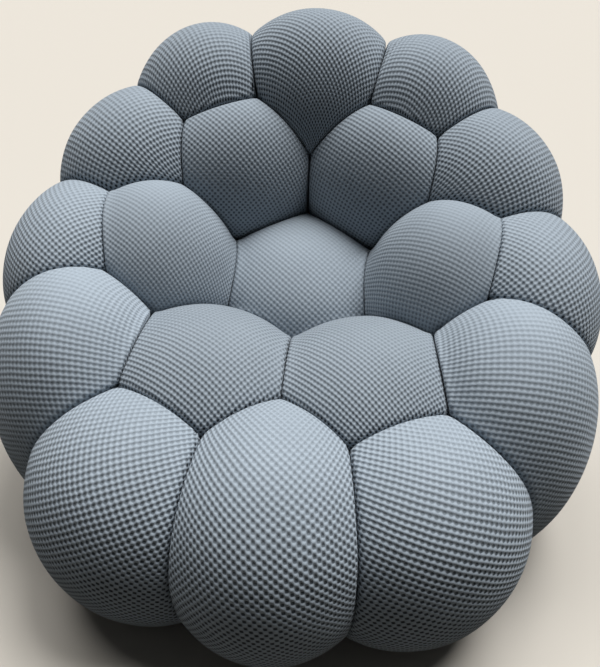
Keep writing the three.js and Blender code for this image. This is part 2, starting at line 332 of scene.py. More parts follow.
def birch_plywood(node):
    """A finish for one board, laid along its own face. Its outer plies' grain runs level."""
    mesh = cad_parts[node].data
    faces = {}
    for face in mesh.polygons:
        key = tuple(round(abs(part), 2) for part in face.normal)
        faces.setdefault(key, []).append(face)
    broad = max(faces.values(), key=lambda group: sum(face.area for face in group))
    normal = broad[0].normal.copy()
    grain = Vector((1, 0, 0)) if abs(normal.z) > 0.9 else Vector((0, 0, 1)).cross(normal).normalized()
    across = normal.cross(grain)
    depths = [vertex.co.dot(normal) for vertex in mesh.vertices]
    plies = 2 * int((max(depths) - min(depths)) / (2 * ply_thickness)) + 1
    finish, tree = new_finish(f"birch_plywood_{node}")
    spot = add_node(tree, "ShaderNodeTexCoord")
    along = add_node(
        tree, "ShaderNodeVectorMath", {0: spot.outputs["Object"], 1: grain}, operation="DOT_PRODUCT"
    )
    over = add_node(
        tree, "ShaderNodeVectorMath", {0: spot.outputs["Object"], 1: across}, operation="DOT_PRODUCT"
    )
    depth = add_node(
        tree, "ShaderNodeVectorMath", {0: spot.outputs["Object"], 1: normal}, operation="DOT_PRODUCT"
    )
    layer = add_node(
        tree, "ShaderNodeMapRange",
        {
            "Value": depth.outputs["Value"],
            "From Min": min(depths), "From Max": max(depths),
            "To Min": face_margin, "To Max": plies - face_margin,
        },
    )
    pair = add_node(tree, "ShaderNodeMath", {0: layer.outputs["Result"], 1: 2.0}, operation="MODULO")
    crossed = add_node(
        tree, "ShaderNodeMath", {0: pair.outputs["Value"], 1: 1.0}, operation="GREATER_THAN"
    )
    streak_place = add_node(
        tree, "ShaderNodeCombineXYZ",
        {"X": along.outputs["Value"], "Y": over.outputs["Value"], "Z": depth.outputs["Value"]},
    )
    stretched = add_node(
        tree, "ShaderNodeVectorMath",
        {0: streak_place.outputs["Vector"], 1: (1 / streak_length, 1 / streak_width, 1 / streak_width)},
        operation="MULTIPLY",
    )
    streaks = add_node(
        tree, "ShaderNodeTexNoise",
        {"Vector": stretched.outputs["Vector"], "Scale": 1.0, "Detail": 6.0, "Distortion": 0.6},
    )
    veneer = add_node(
        tree, "ShaderNodeMix",
        {"Factor": streaks.outputs["Fac"], "A": linear("#D9B98A"), "B": linear("#BE9763")},
        data_type="RGBA",
    )
    colour = add_node(
        tree, "ShaderNodeMix",
        {"Factor": crossed.outputs["Value"], "A": veneer.outputs["Result"], "B": linear("#94683D")},
        data_type="RGBA",
    )
    relief = add_node(
        tree, "ShaderNodeBump",
        {"Height": streaks.outputs["Fac"], "Strength": 0.3, "Distance": 0.0003},
    )
    shader = add_node(
        tree, "ShaderNodeBsdfPrincipled",
        {"Base Color": colour.outputs["Result"], "Roughness": 0.62, "Normal": relief.outputs["Normal"]},
    )
    show_finish(tree, shader)
    give_finish(node, finish)


birch_plywood("base_panel")

# Seat frame
# Six rails of 22 mm birch plywood on edge, mitred and glued to a hexagon that is screwed to the base.
for rail in ("front", "front_right", "rear_right", "rear", "rear_left", "front_left"):
    birch_plywood(f"{rail}_rail")

# Corner blocks
# Sawn pine, glued into each corner of the seat frame. The grain stands upright, so growth rings show on
# top and run as pale and dark lines down the sides.
# The rings' colour is coarser than one year's growth, so that it shows
ring_width = 0.004
ring_sway = 0.02
sways_per_metre = 9.0
fibre_width = 0.0015
fibre_length = 0.06
sawn_pine, tree = new_finish("sawn_pine")
spot = add_node(tree, "ShaderNodeTexCoord")
sway = add_node(
    tree, "ShaderNodeTexNoise",
    {"Vector": spot.outputs["Object"], "Scale": sways_per_metre, "Detail": 2.0},
)
swayed = add_node(
    tree, "ShaderNodeVectorMath",
    {0: sway.outputs["Color"], 1: (ring_sway, ring_sway, 0.0), 2: spot.outputs["Object"]},
    operation="MULTIPLY_ADD",
)
rings = add_node(
    tree, "ShaderNodeTexWave",
    {"Vector": swayed.outputs["Vector"], "Scale": 1 / (20 * ring_width), "Distortion": 0.4},
    wave_type="RINGS", rings_direction="Z", wave_profile="SAW",
)
fibre_place = add_node(
    tree, "ShaderNodeVectorMath",
    {0: spot.outputs["Object"], 1: (1 / fibre_width, 1 / fibre_width, 1 / fibre_length)},
    operation="MULTIPLY",
)
fibre = add_node(
    tree, "ShaderNodeTexNoise",
    {"Vector": fibre_place.outputs["Vector"], "Scale": 1.0, "Detail": 3.0},
)
ring_colour = add_node(
    tree, "ShaderNodeMix",
    {"Factor": rings.outputs["Fac"], "A": linear("#E3C792"), "B": linear("#C0904F")},
    data_type="RGBA",
)
relief = add_node(
    tree, "ShaderNodeBump",
    {"Height": fibre.outputs["Fac"], "Strength": 0.5, "Distance": 0.0004},
)
pine_shader = add_node(
    tree, "ShaderNodeBsdfPrincipled",
    {"Base Color": ring_colour.outputs["Result"], "Roughness": 0.72, "Normal": relief.outputs["Normal"]},
)
show_finish(tree, pine_shader)
for corner in corner_names:
    give_finish(f"corner_block_{corner}", sawn_pine)

# Webbing
# Six straps of woven polypropylene and rubber, 50 mm wide, pulled tight over the rails and interlaced.
# Black warp ribs run along each strap, and two pale threads mark its edges.
strap_rib = 0.0025
stripe_place = 0.017
woven_webbing, tree = new_finish("woven_elastic_webbing")
place = add_node(tree, "ShaderNodeUVMap", uv_map="strap")
parts = add_node(tree, "ShaderNodeSeparateXYZ", {"Vector": place.outputs["UV"]})
rib_phase = add_node(
    tree, "ShaderNodeMath", {0: parts.outputs["X"], 1: 2 * math.pi / strap_rib}, operation="MULTIPLY"
)
pick_phase = add_node(
    tree, "ShaderNodeMath", {0: parts.outputs["Y"], 1: 4 * math.pi / strap_rib}, operation="MULTIPLY"
)
rib = add_node(tree, "ShaderNodeMath", {0: rib_phase.outputs["Value"]}, operation="SINE")
pick = add_node(tree, "ShaderNodeMath", {0: pick_phase.outputs["Value"]}, operation="SINE")
weave = add_node(
    tree, "ShaderNodeMath",
    {0: pick.outputs["Value"], 1: 0.5, 2: rib.outputs["Value"]},
    operation="MULTIPLY_ADD",
)
weave_share = add_node(
    tree, "ShaderNodeMapRange", {"Value": weave.outputs["Value"], "From Min": -1.5, "From Max": 1.5}
)
side = add_node(tree, "ShaderNodeMath", {0: parts.outputs["X"]}, operation="ABSOLUTE")
stripe_away = add_node(
    tree, "ShaderNodeMath", {0: side.outputs["Value"], 1: stripe_place}, operation="SUBTRACT"
)
stripe_near = add_node(tree, "ShaderNodeMath", {0: stripe_away.outputs["Value"]}, operation="ABSOLUTE")
stripe = add_node(
    tree, "ShaderNodeMath", {0: stripe_near.outputs["Value"], 1: strap_rib / 2}, operation="LESS_THAN"
)
black_yarn = add_node(
    tree, "ShaderNodeMix",
    {"Factor": weave_share.outputs["Result"], "A": linear("#17181A"), "B": linear("#3E4045")},
    data_type="RGBA",
)
strap_colour = add_node(
    tree, "ShaderNodeMix",
    {"Factor": stripe.outputs["Value"], "A": black_yarn.outputs["Result"], "B": linear("#A7A59C")},
    data_type="RGBA",
)
relief = add_node(
    tree, "ShaderNodeBump",
    {"Height": weave_share.outputs["Result"], "Strength": 0.8, "Distance": 0.0004},
)
strap_shader = add_node(
    tree, "ShaderNodeBsdfPrincipled",
    {"Base Color": strap_colour.outputs["Result"], "Roughness": 0.8, "Normal": relief.outputs["Normal"]},
)
show_finish(tree, strap_shader)

strap_thickness = 0.0016
strap_gap = 0.0003
strap_steps = 120
strap_columns = 16
strap_landing = 0.03
# How flat a strap lies at its crossings, and the powers that round its edges and flatten its faces
strap_flat = 1.6
edge_round = 0.5
face_flat = 0.25


def strap_mesh(row, number):
    """Points, faces and flat places of a strap that goes over and under the three that cross it."""
    low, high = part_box(f"webbing_{row}_{number}")
    other = "cross" if row == "long" else "long"
    run, side = (1, 0) if row == "long" else (0, 1)
    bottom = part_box("webbing_long_1")[0].z
    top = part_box("webbing_cross_1")[1].z
    crossings = []
    for k in (1, 2, 3):
        other_low, other_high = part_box(f"webbing_{other}_{k}")
        crossings.append((other_low[run] + other_high[run]) / 2)
    pitch = crossings[1] - crossings[0]
    way = 1 if (number + (row == "long")) % 2 else -1
    lift = (strap_thickness + strap_gap) / 2
    half = (high[side] - low[side]) / 2
    points, places = [], []
    for step in range(strap_steps + 1):
        along = low[run] + (high[run] - low[run]) * step / strap_steps
        wave = math.cos(math.pi * (along - crossings[1]) / pitch)
        level = (bottom + top) / 2 + way * lift * max(-1, min(1, strap_flat * wave))
        landing = smooth_step(min(along - low[run], high[run] - along) / strap_landing)
        level = landing * level + (1 - landing) * (bottom + strap_thickness / 2)
        for k in range(2 * strap_columns):
            turn = 2 * math.pi * (k + 0.5) / (2 * strap_columns)
            across = half * math.copysign(abs(math.cos(turn)) ** edge_round, math.cos(turn))
            thick = math.copysign(abs(math.sin(turn)) ** face_flat, math.sin(turn))
            point = [0, 0, level + strap_thickness / 2 * thick]
            point[run] = along
            point[side] = (low[side] + high[side]) / 2 + across
            points.append(point)
            places.append((across, along))
    ring = 2 * strap_columns
    faces = []
    for step in range(strap_steps):
        for k in range(ring):
            a, b = step * ring + k, step * ring + (k + 1) % ring
            faces.append((a, b, b + ring, a + ring) if run == 0 else (b, a, a + ring, b + ring))
    first = list(range(ring))
    last = [strap_steps * ring + k for k in range(ring)]
    faces += [first[::-1], last] if run == 0 else [first, last[::-1]]
    return points, faces, places


def add_places(piece, name, places):
    """A UV map that gives each point its place on the flat cloth, in metres."""
    layer = piece.data.uv_layers.new(name=name)
    corners = np.zeros(len(piece.data.loops), int)
    piece.data.loops.foreach_get("vertex_index", corners)
    layer.data.foreach_set("uv", np.array(places)[corners].ravel())


for row in ("long", "cross"):
    for number in (1, 2, 3):
        points, faces, places = strap_mesh(row, number)
        strap = add_piece(f"woven_strap_{row}_{number}", points, faces, woven_webbing)
        add_places(strap, "strap", places)
        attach(strap, "root")
        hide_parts(f"webbing_{row}_{number}")

# Seat pad
# A firm slab of cut polyurethane foam on the webbing, which keeps the straps from telling through the
# seat bubbles. Its corners are worn round, and the cut face shows open cells.
foam_cell = 0.0015
cell_depth = 0.0006
blotches_per_metre = 14.0
cut_foam, tree = new_finish("cut_polyurethane_foam")
spot = add_node(tree, "ShaderNodeTexCoord")
cells = add_node(
    tree, "ShaderNodeTexVoronoi", {"Vector": spot.outputs["Object"], "Scale": 1 / foam_cell}
)
tint = add_node(
    tree, "ShaderNodeTexNoise",
    {"Vector": spot.outputs["Object"], "Scale": blotches_per_metre, "Detail": 3.0},
)
foam_colour = add_node(
    tree, "ShaderNodeMix",
    {"Factor": tint.outputs["Fac"], "A": linear("#EBE2C6"), "B": linear("#DCCFA8")},
    data_type="RGBA",
)
relief = add_node(
    tree, "ShaderNodeBump",
    {"Height": cells.outputs["Distance"], "Strength": 0.6, "Distance": cell_depth},
)
foam_shader = add_node(
    tree, "ShaderNodeBsdfPrincipled",
    {"Base Color": foam_colour.outputs["Result"], "Roughness": 0.95, "Normal": relief.outputs["Normal"]},
)
show_finish(tree, foam_shader)

pad_round = 0.008
pad_crown = 0.003
pad_rings = 8
pad_low, pad_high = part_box("seat_pad")
pad_outline = [Vector((x, y)) for x, y in outline_of("seat_pad")]
pad_middle = sum(pad_outline, Vector((0, 0))) / len(pad_outline)
pad_steps = 20
pad_rim = []
for a, b in zip(pad_outline, pad_outline[1:] + pad_outline[:1]):
    pad_rim += [a.lerp(b, k / pad_steps) for k in range(pad_steps)]
round_share = pad_round / max((corner - pad_middle).length for corner in pad_outline)
# Share of the way out from the middle, and height as a share from the bottom to the top
pad_profile = [(k / pad_rings * (1 - round_share), 0.0) for k in range(1, pad_rings + 1)]
for k in range(1, pad_rings + 1):
    turn = math.pi * k / pad_rings
    pad_profile.append((1 - round_share * (1 - math.sin(turn)), (1 - math.cos(turn)) / 2))
pad_profile += [(k / pad_rings * (1 - round_share), 1.0) for k in range(pad_rings - 1, 0, -1)]
pad_points = []
for out, rise in pad_profile:
    for corner in pad_rim:
        place = pad_middle.lerp(corner, out)
        droop = pad_crown * rise * out**4
        pad_points.append((place.x, place.y, pad_low.z + (pad_high.z - pad_low.z - droop) * rise))
count = len(pad_rim)
pad_faces = []
for ring in range(len(pad_profile) - 1):
    for k in range(count):
        a, b = ring * count + k, ring * count + (k + 1) % count
        pad_faces.append((a, b, b + count, a + count))
pad_points += [(*pad_middle, pad_low.z), (*pad_middle, pad_high.z)]
last = (len(pad_profile) - 1) * count
for k in range(count):
    after = (k + 1) % count
    pad_faces.append((len(pad_points) - 2, after, k))
    pad_faces.append((len(pad_points) - 1, last + k, last + after))
seat_foam = add_piece("seat_pad_foam", pad_points, pad_faces, cut_foam)
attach(seat_foam, "root")
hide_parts("seat_pad")

# Tub
# Five leaning panels of 15 mm birch plywood behind the inner bubbles: back, two wings and two arms. They
# are glued along their mitres and stand on the base panel, round the seat frame.
for panel in ("back_panel", "wing_panel_left", "wing_panel_right", "arm_panel_left", "arm_panel_right"):
    birch_plywood(panel)

# Bubbles
# Soft balls of polyurethane foam, each in its own cover of stretch spacer knit. Where two press together
# both go flat, and their covers are sewn to each other deep in the valley. The knit relaxes to square
# cells and is stretched most over the front of the chair.
half_width = 0.550
half_depth = 0.520
full_height = 0.810
bowl_centre_share = 0.1

# Each ball's centre to the right, to the rear and up, its reach outward and along the rim, its rise and
# its drop, as shares of the chair's half width, half depth and full height
middle_bubble_shares = {
    "front_bubble_center": [0, -0.6, 0.26, 0.4, 0.35, 0.27, 0.31],
    "seat_bubble_rear": [0, 0.34, 0.39, 0.365, 0.365, 0.205, 0.205],
    "back_bubble_center": [0, 0.75, 0.775, 0.25, 0.325, 0.225, 0.225],
}
left_bubble_shares = {
    "front_bubble_left": [-0.395, -0.52, 0.245, 0.365, 0.38, 0.265, 0.295],
    "arm_front_bubble_left": [-0.67, -0.145, 0.305, 0.32, 0.39, 0.32, 0.355],
    "seat_bubble_left": [-0.25, -0.245, 0.36, 0.35, 0.385, 0.21, 0.21],
    "arm_bubble_left": [-0.725, 0.21, 0.475, 0.275, 0.37, 0.23, 0.23],
    "side_bubble_left": [-0.5, 0.215, 0.445, 0.295, 0.32, 0.275, 0.275],
    "shoulder_bubble_left": [-0.57, 0.535, 0.61, 0.295, 0.335, 0.235, 0.235],
    "lumbar_bubble_left": [-0.245, 0.545, 0.635, 0.225, 0.325, 0.21, 0.21],
    "back_bubble_left": [-0.365, 0.72, 0.72, 0.275, 0.295, 0.24, 0.24],
    "base_bubble_side_left": [-0.72, 0.27, 0.22, 0.27, 0.37, 0.26, 0.3],
    "base_bubble_corner_left": [-0.55, 0.61, 0.28, 0.29, 0.36, 0.28, 0.33],
    "base_bubble_rear_left": [-0.19, 0.72, 0.31, 0.27, 0.34, 0.29, 0.35],
}

# How far each cover is turned on its bubble, in degrees, how far its knit is stretched, how open its
# holes are, and how much lighter or darker its yarn is painted, as painted light and shade for how the
# lamps fall on each bubble
cover_knits = {
    "front_bubble_left": (41, 1.27, 1.15, 1.14),
    "front_bubble_center": (52, 1.28, 1.15, 1.14),
    "front_bubble_right": (58, 1.3, 1.15, 1.14),
    "arm_front_bubble_left": (38, 1.21, 0.7, 1.14),
    "arm_front_bubble_right": (48, 1.23, 0.7, 1.08),
    "seat_bubble_left": (58, 1.04, 1.2, 0.92),
    "seat_bubble_right": (47, 0.98, 1.2, 0.92),
    "seat_bubble_rear": (52, 1.0, 0.5, 0.99),
    "side_bubble_left": (13, 0.93, 0.5, 0.98),
    "side_bubble_right": (18, 1.0, 0.5, 0.92),
    "arm_bubble_left": (26, 1.12, 1.0, 1.12),
    "arm_bubble_right": (66, 1.16, 1.0, 1.04),
    "shoulder_bubble_left": (46, 1.22, 1.0, 1.02),
    "shoulder_bubble_right": (50, 1.16, 1.0, 0.96),
    "lumbar_bubble_left": (34, 0.98, 0.7, 0.95),
    "lumbar_bubble_right": (69, 1.01, 0.7, 0.95),
    "back_bubble_left": (86, 1.21, 1.0, 0.97),
    "back_bubble_center": (55, 1.08, 1.0, 0.97),
    "back_bubble_right": (3, 1.16, 1.0, 0.97),
    "base_bubble_side_left": (40, 1.15, 1.0, 0.98),
    "base_bubble_side_right": (12, 1.15, 1.0, 0.98),
    "base_bubble_corner_left": (71, 1.15, 1.0, 0.98),
    "base_bubble_corner_right": (28, 1.15, 1.0, 0.98),
    "base_bubble_rear_left": (5, 1.15, 1.0, 0.98),
    "base_bubble_rear_right": (52, 1.15, 1.0, 0.98),
}


class Ball:
    """A stretched ball that faces away from the bowl's centre, with radius 1 in its own coordinates."""

    def __init__(self, name, x, y, z, out, along, rise, drop):
        self.name = name
        self.centre = np.array([x * half_width, y * half_depth, z * full_height])
        facing = math.atan2(x, y - bowl_centre_share)
        outward = np.array([math.sin(facing), math.cos(facing)])
        sideways = np.array([outward[1], -outward[0]])
        self.plan = np.array([sideways / along, outward / out]) / [half_width, half_depth]
        self.unplan = np.linalg.inv(self.plan)
        self.rise = rise * full_height
        self.drop = drop * full_height

    def own(self, points):
        """Points of the room in the ball's own coordinates."""
        away = points - self.centre
        tall = np.where(away[:, 2] > 0, self.rise, self.drop)
        return np.column_stack([away[:, :2] @ self.plan.T, away[:, 2] / tall])

    def place(self, own):
        """Points of the ball's own coordinates in the room."""
        tall = np.where(own[:, 2] > 0, self.rise, self.drop)
        return self.centre + np.column_stack([own[:, :2] @ self.unplan.T, own[:, 2] * tall])


balls = {name: Ball(name, *row) for name, row in middle_bubble_shares.items()}
for name, row in left_bubble_shares.items():
    opposite = name.replace("left", "right")
    balls[name] = Ball(name, *row)
    balls[opposite] = Ball(opposite, -row[0], *row[1:])

# A reach is a distance along a ray from a ball's middle, in its own coordinates. Past the far reach
# nothing matters to the ball. Places between two steps are found by halving.
near_reach = 0.4
far_reach = 1.5
reach_steps = 22
passing_share = 2
halvings = 12


def takeover(ball, other, rays):
    """How far along each ray the other ball takes over, as it is nearer its own middle there.

    A ray that only passes the other ball counts as taken over beyond the place where it comes closest,
    further on by passing_share times the gap that is left there.
    """
    def gap_at(reach):
        place = ball.place(rays * reach[:, None])
        return np.linalg.norm(other.own(place), axis=1) - reach

    scan = np.linspace(near_reach, far_reach, reach_steps + 1)
    gaps = np.array([gap_at(np.full(len(rays), reach)) for reach in scan])
    first = np.argmax(gaps < 0, axis=0)
    high = scan[first]
    low = np.where(first > 0, scan[first - 1], 0)
    for step in range(halvings):
        middle = (low + high) / 2
        inside = gap_at(middle) < 0
        high = np.where(inside, middle, high)
        low = np.where(inside, low, middle)
    nearest = np.clip(np.argmin(gaps, axis=0), 1, reach_steps - 1)
    before, at, after = [gaps[nearest + k, np.arange(len(rays))] for k in (-1, 0, 1)]
    bend = before - 2 * at + after
    shift = np.clip((before - after) / 2 / np.where(bend > 1e-9, bend, 1e-9), -1, 1)
    closest = at + (after - before) / 2 * shift + bend / 2 * shift**2
    passed = scan[nearest] + shift * (scan[1] - scan[0]) + passing_share * np.maximum(closest, 0)
    return np.where((gaps < 0).any(0), high, passed)


# The foam is cut back from the boards and the pad, and rests on the lowest level of its CAD node
foam_gap = 0.0015
foam_share = 0.999
board_names = ["base_panel", "seat_pad", "back_panel", "wing_panel_left", "wing_panel_right"]
board_names += ["arm_panel_left", "arm_panel_right"]
board_points = []
board_faces = []
for board in board_names + [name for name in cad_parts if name.endswith("_rail")]:
    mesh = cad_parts[board].data
    start = len(board_points)
    board_points += [vertex.co.copy() for vertex in mesh.vertices]
    board_faces += [[start + k for k in face.vertices] for face in mesh.polygons]
boards = BVHTree.FromPolygons(board_points, board_faces)


def frame_reach(ball, rays):
    """How far along each ray the boards are."""
    reaches = np.full(len(rays), far_reach)
    for k, span in enumerate(ball.place(rays) - ball.centre):
        length = np.linalg.norm(span)
        distance = boards.ray_cast(ball.centre, span, length * far_reach)[3]
        if distance is not None:
            reaches[k] = (distance - foam_gap) / length
    return reaches


def floor_reach(ball, rays, level):
    """How far along each ray the level is on which the bubble rests."""
    fall = ball.place(rays)[:, 2] - ball.centre[2]
    drop = level - ball.centre[2]
    return np.where(fall < drop / far_reach, drop / np.minimum(fall, drop / far_reach), far_reach)


# Two balls touch within this distance of their middles, in a ball's own coordinates
touching_distance = 2.4


def neighbours_of(ball):
    """The balls that are near enough to press on this one."""
    touching = []
    for other in balls.values():
        if other is not ball and np.linalg.norm(other.own(ball.centre[None])) < touching_distance:
            touching.append(other)
    return touching


# How tight the lips at a seam are, and how tightly the stretched knit follows the valley. A lower first
# number rounds the lips, and a lower second one keeps the knit further off the valley's bottom.
open_valley = (28, 42)
valleys = {
    ("seat_bubble_rear", "side_bubble"): (60, 22),
    ("arm_front_bubble", "seat_bubble"): (36, 24),
    ("arm_front_bubble", "front_bubble"): (30, 30),
    ("lumbar_bubble_left", "lumbar_bubble_right"): (22, 32),
    ("seat_bubble_left", "seat_bubble_right"): (50, 23),
    ("seat_bubble_rear", "seat_bubble"): (36, 30),
    ("side_bubble", "arm_bubble"): (36, 27),
}
# Where valleys meet, the deepest counts most, and the more so the higher this power
corner_power = 6


def valley_between(ball, other):
    """How tight the lips at two covers' seam are, and how tightly their knit follows the valley."""
    for (one, two), valley in valleys.items():
        pair = (ball.name, other.name)
        if pair[0].startswith(one) and pair[1].startswith(two):
            return valley
        if pair[0].startswith(two) and pair[1].startswith(one):
            return valley
    return open_valley


# The cover lies between these reaches
lowest_drape = 0.9
highest_drape = 1.3


def draped_reach(ball, rays):
    """How far along each ray the cover lies. It bridges the valleys in a hollow curve."""
    low = np.full(len(rays), lowest_drape)
    high = np.full(len(rays), highest_drape)
    for step in range(halvings):
        middle = (low + high) / 2
        place = ball.place(rays * middle[:, None])
        rises = []
        for other in neighbours_of(ball):
            bridging = valley_between(ball, other)[1]
            gap = np.maximum(np.linalg.norm(other.own(place), axis=1) - middle, 0)
            rises.append(np.log(1 + np.exp(-bridging * gap)) / bridging)
        outside = middle - (np.array(rises) ** corner_power).sum(0) ** (1 / corner_power) > 1
        high = np.where(outside, middle, high)
        low = np.where(outside, low, middle)
    return (low + high) / 2


def reaches_of(ball, rays, level):
    """The reach of each neighbour and of the floor along each ray."""
    reaches = [foam_share * takeover(ball, other, rays) for other in neighbours_of(ball)]
    return np.array(reaches + [floor_reach(ball, rays, level)])


# A cover's mesh runs from its crown, the middle of its free surface, in rings to the valley and its lip,
# and closes on the hidden side. Angles from the crown are in radians. The lip goes lip_depth lip angles
# into the valley, and the hidden side takes up at least as many as least_hidden. The foam is a little
# lumpy.
trial_rays = 900
valley_steps = 72
azimuths = 144
cap_rings = 30
lip_rings = 14
hidden_rings = 14
lip_angle = 0.13
lip_depth = 1.5
least_hidden = 4
lump_size = 0.09
lump_height = 0.0012
start_side = [0.0, 0.6, 0.8]


def spread_rays(count):
    """Rays spread evenly over a ball."""
    k = np.arange(count) + 0.5
    height = 1 - 2 * k / count
    turn = math.pi * (1 + math.sqrt(5)) * k
    radius = np.sqrt(1 - height**2)
    return np.column_stack([radius * np.cos(turn), radius * np.sin(turn), height])


def polar_rays(axes, turns, angles):
    """Rays at an angle from the crown, turned about it. axes are two sides and the crown."""
    flat = np.cos(turns)[..., None] * axes[0] + np.sin(turns)[..., None] * axes[1]
    return np.sin(angles)[..., None] * flat + np.cos(angles)[..., None] * axes[2]


def valley_angles(ball, axes, level, turns):
    """The angle from the crown at which the ball's surface first goes into a valley."""
    scan = np.linspace(0, math.pi, valley_steps + 1)
    coarse = np.linspace(0, 2 * math.pi, valley_steps + 1)[:-1]
    grid = polar_rays(axes, np.repeat(coarse, len(scan)), np.tile(scan, len(coarse)))
    nearest = reaches_of(ball, grid, level).min(0) / draped_reach(ball, grid)
    nearest = nearest.reshape(len(coarse), len(scan))
    angles = []
    for row in nearest:
        after = int(np.argmax(row < 1))
        share = (row[after - 1] - 1) / (row[after - 1] - row[after])
        angles.append(scan[after - 1] + share * (scan[after] - scan[after - 1]))
    return np.interp(turns, coarse, angles, period=2 * math.pi)


def cover_mesh(name):
    """Points and faces of a bubble's cover: the rings from the crown down, then both ends."""
    ball = balls[name]
    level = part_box(name)[0].z
    rays = spread_rays(trial_rays)
    open_air = (reaches_of(ball, rays, level).min(0) > 1) & (frame_reach(ball, rays) >= far_reach)
    free = rays[open_air]
    crown = free.mean(0) / np.linalg.norm(free.mean(0))
    side = np.cross(start_side, crown)
    side /= np.linalg.norm(side)
    axes = [side, np.cross(crown, side), crown]
    turns = np.linspace(0, 2 * math.pi, azimuths + 1)[:-1]
    valley = np.minimum(valley_angles(ball, axes, level, turns), math.pi - least_hidden * lip_angle)
    hidden = valley + lip_depth * lip_angle
    angles = np.vstack([
        np.linspace(0, 1, cap_rings + 1)[1:, None] * (valley - lip_angle),
        valley + lip_angle * np.linspace(-1, lip_depth, lip_rings + 1)[1:, None],
        hidden + np.linspace(0, 1, hidden_rings + 2)[1:-1, None] * (math.pi - hidden),
    ])
    rings = len(angles)
    rays = polar_rays(axes, np.broadcast_to(turns, angles.shape), angles).reshape(-1, 3)
    rays = np.vstack([rays, [crown, -crown]])
    draped = draped_reach(ball, rays)
    # A neighbour's valley has its own lip. The floor and the boards have the open one.
    lips = [valley_between(ball, other)[0] for other in neighbours_of(ball)] + [open_valley[0]] * 2
    reaches = np.vstack([reaches_of(ball, rays, level), frame_reach(ball, rays)])
    dips = [np.log(1 + np.exp(lip * (draped - edge))) / lip for lip, edge in zip(lips, reaches)]
    reach = draped - (np.array(dips) ** corner_power).sum(0) ** (1 / corner_power)
    spans = ball.place(rays) - ball.centre
    points = ball.centre + spans * reach[:, None]
    lumps = np.array([noise.noise(Vector(point) / lump_size) for point in points])
    points += spans * (lump_height * lumps / np.linalg.norm(spans, axis=1))[:, None]
    faces = []
    for ring in range(rings - 1):
        for k in range(azimuths):
            after = (k + 1) % azimuths
            low, high = ring * azimuths, (ring + 1) * azimuths
            faces.append((low + k, high + k, high + after, low + after))
    top, bottom = len(points) - 2, len(points) - 1
    last = (rings - 1) * azimuths
    for k in range(azimuths):
        after = (k + 1) % azimuths
        faces.append((top, k, after))
        faces.append((bottom, last + after, last + k))
    return points, faces


# A knit's rows are turned from straight up, or from the chair's rear on a crown that looks up as steeply
# as this
looks_up = 0.93


def knit_places(points, name):
    """Each point's place on the flat knit, in metres of relaxed knit from the crown."""
    turn, stretch = cover_knits[name][:2]
    top = points[-2]
    grid = points[:-2].reshape(-1, azimuths, 3)
    first = grid[0] - top
    normal = np.cross(first, np.roll(first, -1, axis=0)).sum(0)
    normal /= np.linalg.norm(normal)
    upward = np.array([0.0, 0.0, 1.0]) if abs(normal[2]) < looks_up else np.array([0.0, 1.0, 0.0])
    upward = upward - normal * (upward @ normal)
    upward /= np.linalg.norm(upward)
    across = np.cross(upward, normal)
    rows = np.concatenate([np.broadcast_to(top, (1, azimuths, 3)), grid])
    distance = np.linalg.norm(np.diff(rows, axis=0), axis=2).cumsum(0)
    angle = np.arctan2(first @ upward, first @ across) - math.radians(turn)
    flat = np.stack([distance * np.cos(angle), distance * np.sin(angle)], axis=2).reshape(-1, 2)
    return np.vstack([flat, [[0, 0], flat[-1]]]) / stretch


# Spacer knit of polyester yarn, melange blue-grey: two nets of thick ribs with a knot at each crossing,
# around holes. The holes are painted darker the more steeply the surface faces: painted shade, for light
# from above that reaches the bottom of the holes on top of a bubble and leaves them dark on its steep
# sides. Its pile of fine filaments catches grazing light. The real yarn is a third as wide, and is drawn
# coarser so that it shows.
knit_cell = 0.0080
knit_depth = 0.0023
yarn_width = 0.0011
cross_rib_share = 0.9
wander_share = 0.35
wander_cells = 5
melange_size = 0.12
stretch_knit, tree = new_finish("polyester_spacer_knit")
place = add_node(tree, "ShaderNodeUVMap", uv_map="knit")
wander = add_node(
    tree, "ShaderNodeTexNoise",
    {"Vector": place.outputs["UV"], "Scale": 1 / (wander_cells * knit_cell), "Detail": 2.0},
)
wander_amount = add_node(
    tree, "ShaderNodeVectorMath",
    {0: wander.outputs["Color"], 1: (0.5, 0.5, 0.5)},
    operation="SUBTRACT",
)
wandered = add_node(
    tree, "ShaderNodeVectorMath",
    {0: wander_amount.outputs["Vector"], 1: (wander_share * knit_cell,) * 3, 2: place.outputs["UV"]},
    operation="MULTIPLY_ADD",
)
phase = add_node(
    tree, "ShaderNodeVectorMath",
    {0: wandered.outputs["Vector"], "Scale": 2 * math.pi / knit_cell},
    operation="SCALE",
)
phases = add_node(tree, "ShaderNodeSeparateXYZ", {"Vector": phase.outputs["Vector"]})
rib = add_node(tree, "ShaderNodeMath", {0: phases.outputs["X"]}, operation="COSINE")
cross_rib = add_node(tree, "ShaderNodeMath", {0: phases.outputs["Y"]}, operation="COSINE")
net = add_node(
    tree, "ShaderNodeMath",
    {0: cross_rib.outputs["Value"], 1: cross_rib_share, 2: rib.outputs["Value"]},
    operation="MULTIPLY_ADD",
)
yarn = add_node(
    tree, "ShaderNodeTexNoise",
    {"Vector": place.outputs["UV"], "Scale": 1 / yarn_width, "Detail": 3.0, "Roughness": 0.6},
)
hole = add_node(
    tree, "ShaderNodeMapRange",
    {"Value": net.outputs["Value"], "From Min": 0.4, "From Max": -1.4},
    interpolation_type="SMOOTHSTEP",
)
facing = add_node(tree, "ShaderNodeNewGeometry")
facing_parts = add_node(tree, "ShaderNodeSeparateXYZ", {"Vector": facing.outputs["Normal"]})
